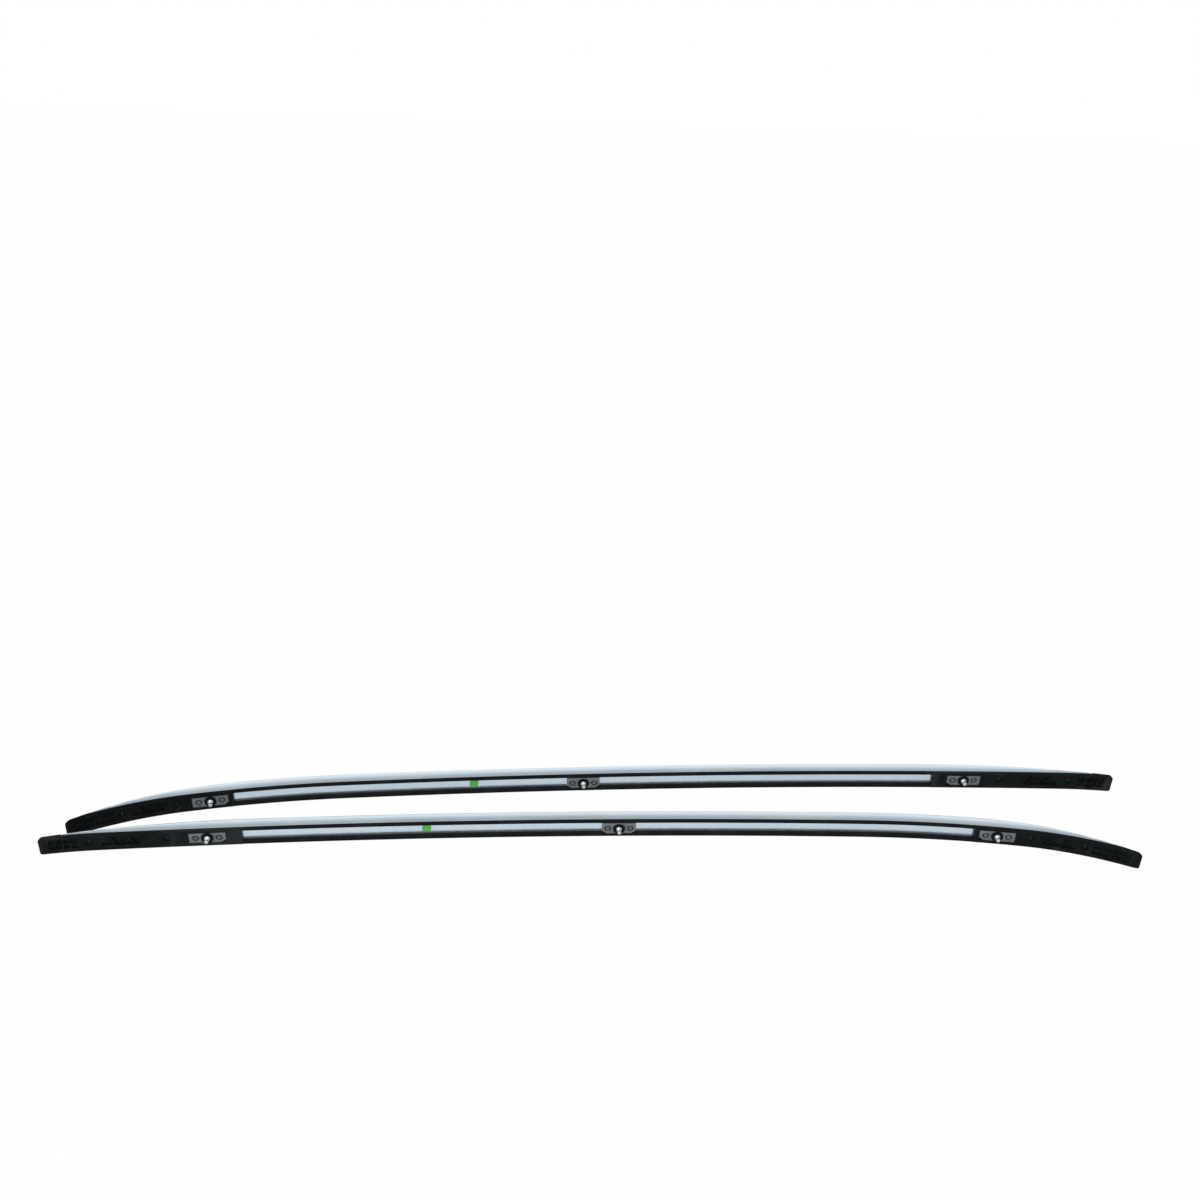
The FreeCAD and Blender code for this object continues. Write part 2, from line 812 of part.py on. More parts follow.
    def stud(self, which):
        name = self.name(which + "_stud")
        shank = cell("stud_shank_radius")
        shank_end = cell("bracket_face_level") - cell("ring_height")
        radius = cell("stud_radius")
        chamfer = cell("stud_chamfer")
        thread = -cell("stud_thread_end")
        groove = cell("stud_groove_radius")
        pilot_start = thread - cell("stud_groove_length")
        pilot = cell("stud_pilot_radius")
        end = pilot_start - cell("stud_pilot_length")
        none = as_size(0)
        corners = [
            (none, cell("bracket_back_level")),
            (shank, cell("bracket_back_level")),
            (shank, shank_end),
            (radius, shank_end),
            (radius, thread + radius - groove),
            (groove, thread),
            (groove, pilot_start),
            (pilot, pilot_start),
            (pilot, end + chamfer),
            (pilot - chamfer, end),
            (none, end),
        ]
        body = turned_body(name, corners)
        hand_over(body, name, self.pose * self.bracket_place(which))

    def stud_seal(self, which):
        name = self.name(which + "_stud_seal")
        outer = cell("ring_radius")
        inner = cell("stud_shank_radius") + cell("stud_clearance")
        face = cell("bracket_face_level")
        edge = cell("ring_edge")
        end = face - cell("ring_height")
        corners = [
            (inner, face),
            (outer, face),
            (outer, end + edge),
            (outer - edge, end),
            (inner + edge / 2, end),
            (inner, end + edge / 2),
        ]
        body = turned_body(name, corners)
        hand_over(body, name, self.pose * self.bracket_place(which))

    def screw(self, name, sizes, place):
        """Screw with a rounded head; sizes are head radius, head height, seat level, radius, end level."""
        head, height, seat, radius, end = sizes
        none = as_size(0)
        corners = [
            (none, seat - height),
            (head * 0.62, seat - height),
            (head * 0.9, seat - height * 0.7),
            (head, seat - height * 0.3),
            (head, seat),
            (radius, seat),
            (radius, end - radius / 3),
            (radius - radius / 3, end),
            (none, end),
        ]
        body = turned_body(name, corners)
        body.Placement = place
        return body

    def bracket_screws(self, which):
        name = self.name(which + "_bracket_screws")
        seat = cell("bracket_face_level") + cell("screw_recess_depth")
        radius = cell("screw_radius")
        end = cell("screw_end_level")
        sizes = (cell("screw_head_radius"), cell("screw_head_height"), seat, radius, end)
        half = sheet.get("screw_spacing") / 2
        screws = []
        for number, side in enumerate((-1, 1), start=1):
            place = self.bracket_place(which) * Place(Vec(side * half, 0, 0), Rot())
            screws.append(self.screw(f"{name}_{number}", sizes, place))
            self.drill(f"{name}_{number}_drill", radius, end, place)
        hand_over(joined("Compound", name, screws), name, self.pose)

    def foot_screws(self, end):
        name = self.name(end + "_foot_screws")
        radius = cell("foot_screw_radius")
        level = cell("foot_screw_end_level")
        head = cell("foot_screw_head_radius")
        sizes = (head, cell("foot_screw_head_height"), cell("foot_counterbore_depth"), radius, level)
        screws = []
        for which in ("near", "far"):
            place = self.place(self.end_station(end, sheet.get(f"{end}_foot_screw_{which}_tip")))
            screws.append(self.screw(f"{name}_{which}", sizes, place))
            self.drill(f"{name}_{which}_drill", radius, level, place)
        hand_over(joined("Compound", name, screws), name, self.pose)

    def drill(self, name, radius, end, place):
        """Hole in the floor of the profile for a screw."""
        bore = radius + cell("stud_clearance")
        self.drills.append(tool_cylinder(name, bore, cell("skirt_level"), end + bore, place))

    def build(self):
        for which in ("front", "middle", "rear"):
            self.bracket(which)
            self.stud(which)
            self.stud_seal(which)
            self.bracket_screws(which)
        for end in ("front", "rear"):
            self.foot(end)
            self.foot_screws(end)
        self.seal("outer", 1)
        self.seal("inner", -1)
        self.profile()


Rail("right", -1).build()
Rail("left", 1).build()
doc.recompute()

for item in doc.Objects:
    faults = [state for state in item.State if state in ("Invalid", "Error")]
    if faults:
        raise RuntimeError(f"{item.Label} did not build: {faults}")
for item in CROWNED:
    if item.Shape.Volume > item.Base.Shape.Volume * 0.99:
        raise RuntimeError(f"{item.Label} has no crown")

os.makedirs("parts", exist_ok=True)
for node in NODES:
    if node.Shape.isNull() or not node.Shape.isValid():
        raise RuntimeError(f"{node.Label} has no valid shape")
    node.Shape.exportStep(f"parts/{node.Label}.step")
print(len(NODES), "parts written")
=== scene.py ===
import math

import bmesh
import bpy
from mathutils import Matrix, Vector


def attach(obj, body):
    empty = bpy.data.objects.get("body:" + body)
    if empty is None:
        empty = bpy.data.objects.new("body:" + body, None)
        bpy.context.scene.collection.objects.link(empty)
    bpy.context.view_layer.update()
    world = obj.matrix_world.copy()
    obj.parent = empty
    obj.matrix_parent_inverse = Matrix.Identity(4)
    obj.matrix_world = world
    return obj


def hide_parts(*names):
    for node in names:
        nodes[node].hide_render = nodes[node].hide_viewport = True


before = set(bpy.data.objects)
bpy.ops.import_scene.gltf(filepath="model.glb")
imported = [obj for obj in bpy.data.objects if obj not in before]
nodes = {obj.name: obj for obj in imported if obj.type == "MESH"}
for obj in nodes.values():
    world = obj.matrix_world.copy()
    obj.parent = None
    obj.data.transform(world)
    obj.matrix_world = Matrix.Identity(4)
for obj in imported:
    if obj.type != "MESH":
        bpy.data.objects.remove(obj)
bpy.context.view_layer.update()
scene = bpy.context.scene

# Base line of a rail as tangent arcs (length, radius) from the front tip, in millimetres.
ARCS = [(191, 618), (265.5, 2060), (1262, 13540), (93.5, 952)]
FRONT_TIP = -456.5
REAR_TIP = 1355.5
SIDES = {"right": (-1, 442.25, -30.1, 1.57), "left": (1, -443.75, 26.9, 6.79)}
STATIONS = {
    "front": FRONT_TIP + 231.4,
    "middle": FRONT_TIP + 869.3,
    "rear": REAR_TIP - 265,
}


# Places along a rail, from the nearer tip; the first two hold the clearance at the joint as well.
NOSE_LENGTH = 36.15
FOOT_LENGTH = {"front": 270.15, "rear": 321.15}
FOOT_SCREWS = {"front": (89, 177), "rear": (77, 201)}
PAINT_MARKS = {"right": (FRONT_TIP + 1190.0, 0.1), "left": (FRONT_TIP + 678.5, 0.5)}

# Section of the profile: levels run from the underside to the crown.
HALF = 19
RAIL_HEIGHT = 28.0
BARREL_LEVEL = 15.9
BARREL_RADIUS = 61
CROWN_RADIUS = 40
SHOULDER_RADIUS = 11
SHOULDER_OVERHANG = 0.2
SKIRT_LEVEL = 2.4
SKIRT_EDGE = 0.3
FLOOR_LEVEL = 6.0
CHANNEL_HALF = 15.0
CLEARANCE = 0.1
SEAL_EDGE = 10.6

# Taper of the crown: direction, first and last bent station, radius of the bend, tip.
LEVEL_STRETCH = (-150.0, 1020.0)
TAPERS = (
    (-1, FRONT_TIP + 300, FRONT_TIP + 120, 1714, FRONT_TIP),
    (1, REAR_TIP - 330, REAR_TIP - 133, 2250, REAR_TIP),
)

# Brackets with their studs, rings and screws.
BRACKET_ACROSS = -2.0
SCREW_SHIFTS = (-19, 19)
NOTCH_HALF = 28.7
NOTCH_EDGE = 12.6
STUD_BACK = 5.7
SHANK_RADIUS = 4.6
STUD_RADIUS = 4.0
GROOVE_RADIUS = 3.0
PILOT_RADIUS = 3.2
THREAD_PITCH = 1.25
THREAD_DEPTH = 0.62
THREAD_SPAN = (-5.95, -1.05)
RING_RADIUS = 10.0
RING_EDGE = 0.6

CAMERA_SPOT = (-0.01452, -1.7248, 1.46054)
CAMERA_PITCH = 0.5369
CAMERA_ROLL = 0.0326
FLOOR_GLOW = 0.97
# Brightness of the room by the sine of the elevation.
ROOM_STOPS = [(0.0, 1.0), (0.66, 0.95), (0.82, 0.34), (0.92, 0.34), (1.0, 0.5)]


def arc_table():
    """(first station, last station, first heading, centre, radius), apex of the arch at the origin."""
    heading = sum(length / radius for length, radius in ARCS[:2])
    station = FRONT_TIP
    point = Vector((0, 0))
    table = []
    apex = None
    for length, radius in ARCS:
        if abs(station) < 1e-6:
            apex = point.copy()
        centre = point + Vector((math.sin(heading), -math.cos(heading))) * radius
        table.append((station, station + length, heading, centre, radius))
        heading -= length / radius
        point = centre + Vector((-math.sin(heading), math.cos(heading))) * radius
        station += length
    return [(a, b, h, c - apex, r) for a, b, h, c, r in table]


TABLE = arc_table()


def arc_at(station):
    for arc in TABLE:
        if station <= arc[1]:
            return arc
    return TABLE[-1]


def along(station):
    """Point and heading of the base line at a station."""
    first, last, heading, centre, radius = arc_at(station)
    heading -= (station - first) / radius
    return centre + Vector((-math.sin(heading), math.cos(heading))) * radius, heading


def pose(side):
    flip, x, y, yaw = SIDES[side]
    return Matrix.Translation((x, y, 0)) @ Matrix.Rotation(math.radians(yaw), 4, "Z")


def frame_at(side, station, across=0.0):
    """Frame on the base line in metres: x along the rail, y away from the roof, z up."""
    flip = SIDES[side][0]
    point, heading = along(station)
    local = Matrix.Translation((point.x * flip, point.y, HALF + across))
    turn = Matrix.Rotation(heading * flip, 4, "Z")
    return Matrix.Scale(0.001, 4) @ pose(side) @ local @ turn


def crown_samples():
    """(station, height) pairs of the ridge, which drops towards both tips."""
    samples = [(station, RAIL_HEIGHT) for station in LEVEL_STRETCH]
    for sign, start, stop, radius, tip in TAPERS:
        point, heading = along(start)
        point = point + Vector((-math.sin(heading), math.cos(heading))) * RAIL_HEIGHT
        station = start
        step = 2.0
        while (station - tip) * sign < 0:
            base = arc_at(station)[4]
            length = step * (base + RAIL_HEIGHT) / base
            bend = 1 / (base + RAIL_HEIGHT)
            if (station - stop) * sign < 0:
                bend += 1 / radius
            middle = heading - sign * bend * length / 2
            point = point + Vector((math.cos(middle), math.sin(middle))) * length * sign
            heading -= sign * bend * length
            station += sign * step
            first, last, begin, centre, base = arc_at(station)
            reach = point - centre
            angle = math.atan2(-reach.x, reach.y)
            samples.append((first + (begin - angle) * base, reach.length - base))
    return sorted(samples)


CROWN = crown_samples()


def crown_height(station):
    for (s0, h0), (s1, h1) in zip(CROWN, CROWN[1:]):
        if s0 <= station <= s1:
            return h0 + (h1 - h0) * (station - s0) / (s1 - s0)
    return CROWN[0][1] if station < CROWN[0][0] else CROWN[-1][1]


def barrel_half(level):
    return HALF - BARREL_RADIUS + math.sqrt(BARREL_RADIUS ** 2 - (BARREL_LEVEL - level) ** 2)


def dome_points():
    """Half of the rounded crown below its ridge, from the foot of the shoulder to the ridge."""
    aside = HALF - SHOULDER_RADIUS + SHOULDER_OVERHANG
    down = math.sqrt((CROWN_RADIUS - SHOULDER_RADIUS) ** 2 - aside ** 2)
    joint = math.atan2(down, aside)
    points = []
    for number in range(15):
        angle = joint * number / 14
        level = down - CROWN_RADIUS + SHOULDER_RADIUS * math.sin(angle)
        points.append((level, aside + SHOULDER_RADIUS * math.cos(angle)))
    for number in range(1, 7):
        angle = joint + (math.pi / 2 - joint) * number / 6
        points.append((CROWN_RADIUS * math.sin(angle) - CROWN_RADIUS, CROWN_RADIUS * math.cos(angle)))
    return points


DOME = dome_points()


def profile_section(height):
    """Outline of the extrusion (level, across): barrel sides, crown, skirts and channel."""
    lowest = SKIRT_LEVEL + SKIRT_EDGE
    foot = height + DOME[0][0]
    side = []
    for number in range(9):
        level = lowest + max(0.0, foot - lowest) * number / 8
        side.append((level, barrel_half(level)))
    for drop, half in DOME:
        level = max(height + drop, lowest)
        barrel = barrel_half(level)
        side.append((level, min(barrel, half) if height + drop > lowest else barrel))
    edge = barrel_half(SKIRT_LEVEL)
    lip = [(FLOOR_LEVEL, CHANNEL_HALF), (3.0, CHANNEL_HALF), (2.55, 15.12), (SKIRT_LEVEL, 15.4)]
    lip += [(SKIRT_LEVEL, edge - 0.12), (SKIRT_LEVEL + 0.04, edge - 0.03)]
    outline = lip + side
    outline += [(level, -half) for level, half in reversed(side[:-1])]
    outline += [(level, -half) for level, half in reversed(lip)]
    outline += [(FLOOR_LEVEL, across) for across in (-7.5, 0.0, 7.5)]
    return outline


def seal_section(sign, inner):
    """Outline of a seal strip with a rounded lip and a bead along it."""
    leg = CHANNEL_HALF - CLEARANCE
    top = FLOOR_LEVEL - CLEARANCE
    step = SKIRT_LEVEL - CLEARANCE
    outer = barrel_half(SKIRT_LEVEL)
    shape = [(0.8, inner), (top, inner), (top, leg), (step, leg), (step, outer), (0.7, outer)]
    shape += [(0.35, outer - 0.08), (0.1, outer - 0.3), (0.0, outer - 0.65), (0.0, 15.2)]
    shape += [(0.3, 14.9), (0.3, 14.5), (0.0, 14.2)]
    shape += [(0.0, inner + 1.0), (0.12, inner + 0.5), (0.4, inner + 0.15)]
    return [(level, half * sign) for level, half in shape]


def steps(start, stop):
    """Stations for a sweep, close together in the bends."""
    found = [start]
    while found[-1] < stop - 1:
        bend = arc_at(found[-1])[4]
        tapering = found[-1] < FRONT_TIP + 310 or found[-1] > REAR_TIP - 340
        found.append(min(stop, found[-1] + (5.0 if bend < 3000 or tapering else 14.0)))
    return found


def add_piece(name, bm, material, replaced=(), sharp=32, merge=1e-6, second=None):
    bmesh.ops.remove_doubles(bm, verts=bm.verts, dist=merge)
    bmesh.ops.recalc_face_normals(bm, faces=bm.faces)
    mesh = bpy.data.meshes.new(name)
    bm.to_mesh(mesh)
    bm.free()
    mesh.polygons.foreach_set("use_smooth", [True] * len(mesh.polygons))
    mesh.set_sharp_from_angle(angle=math.radians(sharp))
    mesh.materials.append(material)
    if second:
        mesh.materials.append(second)
    piece = bpy.data.objects.new(name, mesh)
    scene.collection.objects.link(piece)
    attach(piece, "root")
    if replaced:
        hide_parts(*replaced)
    return piece


def swept(side, stations, section):
    """Mesh of a section carried along a rail; keeps station, level and across on each vertex."""
    bm = bmesh.new()
    layer = bm.verts.layers.float_vector.new("along")
    rings = []
    for station in stations:
        place = frame_at(side, station)
        ring = []
        for level, across in section(station):
            vertex = bm.verts.new(place @ Vector((0, level, across)))
            vertex[layer] = Vector((station, level, across)) * 0.001
            ring.append(vertex)
        rings.append(ring)
    for one, two in zip(rings, rings[1:]):
        for i in range(len(one)):
            j = (i + 1) % len(one)
            bm.faces.new((one[i], one[j], two[j], two[i]))
    bm.faces.new(rings[0])
    bm.faces.new(list(reversed(rings[-1])))
    return bm


def lathe(bm, place, outline, segments=48, radius_at=None, second_rings=0):
    """Closed round form about the y axis; the first bands may take the piece's second material."""
    rings = []
    for radius, level in outline:
        if radius < 1e-6:
            rings.append([bm.verts.new(place @ Vector((0, level, 0)))])
            continue
        ring = []
        for number in range(segments):
            angle = 2 * math.pi * number / segments
            reach = radius_at(radius, level, angle) if radius_at else radius
            ring.append(bm.verts.new(place @ Vector((reach * math.cos(angle), level, reach * math.sin(angle)))))
        rings.append(ring)
    for band, (one, two) in enumerate(zip(rings, rings[1:])):
        for i in range(segments):
            j = (i + 1) % segments
            corners = [one[i % len(one)], one[j % len(one)], two[j % len(two)], two[i % len(two)]]
            face = bm.faces.new(list(dict.fromkeys(corners)))
            face.material_index = 1 if band < second_rings else 0
    if len(rings[0]) > 1 and len(rings[-1]) > 1:
        one, two = rings[-1], rings[0]
        for i in range(segments):
            j = (i + 1) % segments
            bm.faces.new((one[i], one[j], two[j], two[i]))


class Look:
    """A procedural material: nodes are added one after another and linked by name."""

    def __init__(self, name):
        self.material = bpy.data.materials.new(name)
        self.material.use_nodes = True
        self.tree = self.material.node_tree
        self.bsdf = self.tree.nodes["Principled BSDF"]
        self.where = self.tree.nodes.new("ShaderNodeTexCoord").outputs["Object"]

    def link(self, start, end):
        self.tree.links.new(start, end)

    def follow_rail(self):
        node = self.tree.nodes.new("ShaderNodeAttribute")
        node.attribute_name = "along"
        self.where = node.outputs["Vector"]

    def noise(self, scale, detail=4.0, stretch=(1, 1, 1)):
        mapping = self.tree.nodes.new("ShaderNodeMapping")
        mapping.inputs["Scale"].default_value = stretch
        self.link(self.where, mapping.inputs["Vector"])
        node = self.tree.nodes.new("ShaderNodeTexNoise")
        node.inputs["Scale"].default_value = scale
        node.inputs["Detail"].default_value = detail
        self.link(mapping.outputs["Vector"], node.inputs["Vector"])
        return node.outputs["Fac"]

    def ramp(self, fac, stops):
        node = self.tree.nodes.new("ShaderNodeValToRGB")
        elements = node.color_ramp.elements
        while len(elements) < len(stops):
            elements.new(0.5)
        for element, (position, colour) in zip(elements, stops):
            element.position = position
            element.color = (*colour, 1)
        self.link(fac, node.inputs["Fac"])
        return node.outputs["Color"]

    def spread(self, fac, low, high, start=0.3, stop=0.7):
        node = self.tree.nodes.new("ShaderNodeMapRange")
        node.inputs["From Min"].default_value = start
        node.inputs["From Max"].default_value = stop
        node.inputs["To Min"].default_value = low
        node.inputs["To Max"].default_value = high
        self.link(fac, node.inputs["Value"])
        return node.outputs["Result"]

    def blend(self, fac, one, two):
        node = self.tree.nodes.new("ShaderNodeMix")
        node.data_type = "RGBA"
        self.link(fac, node.inputs["Factor"])
        self.link(one, node.inputs[6])
        self.link(two, node.inputs[7])
        return node.outputs[2]

    def edges(self, start, stop):
        """How far a place is along a raised edge."""
        node = self.tree.nodes.new("ShaderNodeNewGeometry")
        return self.spread(node.outputs["Pointiness"], 0.0, 1.0, start, stop)

    def bump(self, fac, strength, distance):
        node = self.tree.nodes.new("ShaderNodeBump")
        node.inputs["Strength"].default_value = strength
        node.inputs["Distance"].default_value = distance
        self.link(fac, node.inputs["Height"])
        previous = self.bsdf.inputs["Normal"]
        if previous.is_linked:
            self.link(previous.links[0].from_socket, node.inputs["Normal"])
        self.link(node.outputs["Normal"], previous)

    def finish(self, colour, roughness, metallic):
        self.link(colour, self.bsdf.inputs["Base Color"])
        self.link(roughness, self.bsdf.inputs["Roughness"])
        self.bsdf.inputs["Metallic"].default_value = metallic
        return self.material


def satin_aluminium():
    look = Look("satin_aluminium")
    look.follow_rail()
    streaks = look.noise(1.0, 5.0, (9, 1600, 1600))
    clouds = look.noise(14.0, 3.0)
    fine = look.ramp(streaks, [(0.3, (0.71, 0.81, 0.88)), (0.7, (0.78, 0.88, 0.95))])
    worn = look.ramp(streaks, [(0.3, (0.75, 0.85, 0.92)), (0.7, (0.82, 0.92, 0.98))])
    colour = look.blend(look.spread(clouds, 0.0, 1.0), fine, worn)
    roughness = look.spread(clouds, 0.22, 0.28)
    look.bump(streaks, 0.015, 0.0002)
    return look.finish(colour, roughness, 0.92)


def moulded_plastic():
    look = Look("moulded_plastic")
    grain = look.noise(1500.0, 3.0)
    clouds = look.noise(30.0, 4.0)
    scuffs = look.noise(60.0, 6.0, (1, 6, 6))
    base = look.ramp(clouds, [(0.3, (0.0022, 0.0030, 0.0036)), (0.7, (0.0045, 0.0056, 0.0064))])
    dust = look.ramp(clouds, [(0.3, (0.010, 0.012, 0.013)), (0.7, (0.017, 0.020, 0.021))])
    colour = look.blend(look.spread(scuffs, 0.0, 0.5, 0.58, 0.75), base, dust)
    # Raised edges take the paler dust colour as well: a painted highlight along the ribs and edges of the
    # mouldings.
    colour = look.blend(look.edges(0.53, 0.62), colour, dust)
    roughness = look.spread(clouds, 0.44, 0.56)
    look.bsdf.inputs["Specular IOR Level"].default_value = 0.08
    look.bump(grain, 0.22, 0.0003)
    return look.finish(colour, roughness, 0.0)


# Paler plastic for the rounded edges of the feet: a painted highlight along the edges.
def highlight_edge_plastic():
    look = Look("highlight_edge_plastic")
    clouds = look.noise(90.0, 5.0)
    colour = look.ramp(clouds, [(0.35, (0.018, 0.021, 0.023)), (0.7, (0.075, 0.082, 0.086))])
    roughness = look.spread(clouds, 0.40, 0.55)
    look.bsdf.inputs["Specular IOR Level"].default_value = 0.25
    return look.finish(colour, roughness, 0.0)


def seal_rubber():
    look = Look("seal_rubber")
    look.follow_rail()
    lines = look.noise(1.0, 4.0, (25, 1500, 1500))
    clouds = look.noise(22.0, 5.0)
    base = look.ramp(lines, [(0.3, (0.0024, 0.0034, 0.0036)), (0.7, (0.0050, 0.0064, 0.0066))])
    dust = look.ramp(lines, [(0.3, (0.010, 0.013, 0.012)), (0.7, (0.017, 0.021, 0.019))])
    look.bsdf.inputs["Specular IOR Level"].default_value = 0.08
    colour = look.blend(look.spread(clouds, 0.0, 0.6, 0.5, 0.75), base, dust)
    roughness = look.spread(clouds, 0.55, 0.70)
    look.bump(lines, 0.10, 0.0002)
    return look.finish(colour, roughness, 0.0)


def ring_rubber():
    look = Look("ring_rubber")
    grain = look.noise(1200.0, 3.0)
    clouds = look.noise(160.0, 4.0)
    base = look.ramp(clouds, [(0.3, (0.0020, 0.0026, 0.0030)), (0.7, (0.0040, 0.0048, 0.0052))])
    dust = look.ramp(clouds, [(0.3, (0.008, 0.010, 0.011)), (0.7, (0.014, 0.016, 0.017))])
    look.bsdf.inputs["Specular IOR Level"].default_value = 0.08
    colour = look.blend(look.spread(look.noise(420.0, 5.0), 0.0, 0.6, 0.55, 0.72), base, dust)
    roughness = look.spread(clouds, 0.50, 0.64)
    look.bump(grain, 0.18, 0.0003)
    return look.finish(colour, roughness, 0.0)


def cast_metal():
    look = Look("cast_metal")
    grain = look.noise(700.0, 5.0)
    clouds = look.noise(75.0, 4.0)
    base = look.ramp(clouds, [(0.3, (0.120, 0.132, 0.138)), (0.7, (0.175, 0.188, 0.195))])
    bare = look.ramp(clouds, [(0.3, (0.30, 0.32, 0.33)), (0.7, (0.40, 0.42, 0.43))])
    colour = look.blend(look.edges(0.52, 0.60), base, bare)
    roughness = look.spread(grain, 0.42, 0.58)
    look.bump(grain, 0.25, 0.0003)
    return look.finish(colour, roughness, 0.75)


def plated_steel():
    look = Look("plated_steel")
    grain = look.noise(1100.0, 4.0)
    clouds = look.noise(130.0, 4.0)
    base = look.ramp(clouds, [(0.3, (0.17, 0.18, 0.19)), (0.7, (0.27, 0.28, 0.29))])
    bare = look.ramp(clouds, [(0.3, (0.48, 0.49, 0.50)), (0.7, (0.58, 0.59, 0.60))])
    colour = look.blend(look.edges(0.52, 0.60), base, bare)
    roughness = look.spread(grain, 0.30, 0.46)
    look.bump(grain, 0.10, 0.0002)
    return look.finish(colour, roughness, 0.9)


def bright_steel():
    look = Look("bright_steel")
    grain = look.noise(1100.0, 4.0)
    clouds = look.noise(130.0, 4.0)
    base = look.ramp(clouds, [(0.3, (0.46, 0.49, 0.50)), (0.7, (0.60, 0.63, 0.64))])
    bare = look.ramp(clouds, [(0.3, (0.70, 0.72, 0.73)), (0.7, (0.78, 0.80, 0.81))])
    colour = look.blend(look.edges(0.52, 0.60), base, bare)
    roughness = look.spread(grain, 0.30, 0.44)
    look.bump(grain, 0.08, 0.0002)
    return look.finish(colour, roughness, 0.9)


def dark_steel():
    look = Look("dark_steel")
    grain = look.noise(1100.0, 4.0)
    clouds = look.noise(130.0, 4.0)
    base = look.ramp(clouds, [(0.3, (0.012, 0.014, 0.016)), (0.7, (0.024, 0.027, 0.029))])
    bare = look.ramp(clouds, [(0.3, (0.06, 0.065, 0.07)), (0.7, (0.10, 0.105, 0.11))])
    colour = look.blend(look.edges(0.54, 0.64), base, bare)
    roughness = look.spread(grain, 0.34, 0.48)
    look.bump(grain, 0.10, 0.0002)
    return look.finish(colour, roughness, 0.7)


def marking_paint():
    look = Look("marking_paint")
    grain = look.noise(500.0, 5.0)
    colour = look.ramp(grain, [(0.3, (0.045, 0.33, 0.030)), (0.7, (0.075, 0.42, 0.045))])
    roughness = look.spread(grain, 0.35, 0.5)
    look.bump(grain, 0.15, 0.0002)
    return look.finish(colour, roughness, 0.0)


aluminium = satin_aluminium()
plastic = moulded_plastic()
edge_highlight = highlight_edge_plastic()
rubber = seal_rubber()
ring_look = ring_rubber()
cast = cast_metal()
steel = plated_steel()
stud_steel = bright_steel()
blackened = dark_steel()
paint = marking_paint()


def broken_edges(name, node, width, material, edge_look):
    """The form of a CAD node with its sharp edges slightly rounded; the rounds take the edge look, which on the
    feet is a paler plastic painted as a highlight along the edges.
    """
    bm = bmesh.new()
    bm.from_mesh(nodes[node].data)
    bm.transform(nodes[node].matrix_world)
    bmesh.ops.remove_doubles(bm, verts=bm.verts, dist=3e-6)
    bmesh.ops.dissolve_limit(bm, angle_limit=math.radians(0.6), verts=bm.verts, edges=bm.edges)
    edges = [e for e in bm.edges if len(e.link_faces) == 2 and e.calc_face_angle(0.0) > math.radians(35)]
    bmesh.ops.bevel(
        bm, geom=edges, offset=width * 0.001, offset_type="OFFSET", segments=2, profile=0.5,
        affect="EDGES", clamp_overlap=True, material=1,
    )
    return add_piece(name, bm, material, [node], sharp=20, second=edge_look)


def profile(side):
    stations = steps(FRONT_TIP + NOSE_LENGTH, REAR_TIP - NOSE_LENGTH)
    bm = swept(side, stations, lambda station: profile_section(crown_height(station)))
    add_piece(f"{side}_extrusion", bm, aluminium, [f"{side}_profile"], sharp=24)


def seal(side, which, sign):
    middle = STATIONS["middle"]
    start = FRONT_TIP + FOOT_LENGTH["front"]
    stop = REAR_TIP - FOOT_LENGTH["rear"]
    stations = [s for s in steps(start, stop) if abs(s - middle) > NOTCH_HALF + 1]
    for edge in (NOTCH_HALF, NOTCH_HALF - 0.05):
        stations += [middle - edge, middle + edge]
    stations.sort()

    def section(station):
        inside = sign < 0 and abs(station - middle) < NOTCH_HALF - 0.01
        return seal_section(sign, NOTCH_EDGE if inside else SEAL_EDGE)

    bm = swept(side, stations, section)
    add_piece(f"{side}_{which}_lip", bm, rubber, [f"{side}_{which}_seal"], sharp=40)


def stud(side, which):
    place = frame_at(side, STATIONS[which], BRACKET_ACROSS)
    first, last = THREAD_SPAN
    outline = [(0, STUD_BACK), (SHANK_RADIUS - 0.15, STUD_BACK), (SHANK_RADIUS, STUD_BACK - 0.2)]
    outline += [(SHANK_RADIUS, -0.9), (SHANK_RADIUS - 0.1, -1.0), (STUD_RADIUS, -1.0)]
    outline += [(STUD_RADIUS, -1.1 - 0.1 * number) for number in range(49)]
    outline += [(GROOVE_RADIUS, -7.0), (GROOVE_RADIUS, -7.8), (GROOVE_RADIUS + 0.05, -7.8)]
    outline += [(PILOT_RADIUS, -7.92), (PILOT_RADIUS, -10.2), (PILOT_RADIUS - 0.08, -10.45)]
    outline += [(PILOT_RADIUS - 0.65, -10.92), (PILOT_RADIUS - 0.85, -11.0), (0, -11.0)]

    def thread(radius, level, angle):
        if not first < level < last:
            return radius
        turn = (level / THREAD_PITCH + angle / (2 * math.pi)) % 1.0
        fade = min(1.0, (level - first) / 0.8, (last - level) / 0.8)
        return radius - THREAD_DEPTH * abs(2 * turn - 1) * fade

    bm = bmesh.new()
    lathe(bm, place, outline, 40, thread)
    name = f"{side}_{which}_stud"
    add_piece(f"{side}_{which}_threaded_stud", bm, stud_steel, [name], sharp=50)


def stud_seal(side, which):
    place = frame_at(side, STATIONS[which], BRACKET_ACROSS)
    outline = [(4.62, 0.8), (RING_RADIUS - 0.1, 0.8), (RING_RADIUS, 0.7), (RING_RADIUS, -0.4)]
    for number in range(1, 7):
        angle = math.radians(15 * number)
        reach = RING_RADIUS - RING_EDGE + RING_EDGE * math.cos(angle)
        outline.append((reach, -0.4 - RING_EDGE * math.sin(angle)))
    outline += [(8.2, -1.0), (8.0, -0.8), (7.2, -0.8), (7.0, -1.0)]
    outline += [(5.2, -1.0), (4.9, -0.95), (4.62, -0.7)]
    bm = bmesh.new()
    lathe(bm, place, outline, 56)
    add_piece(f"{side}_{which}_ring", bm, ring_look, [f"{side}_{which}_stud_seal"], sharp=50)


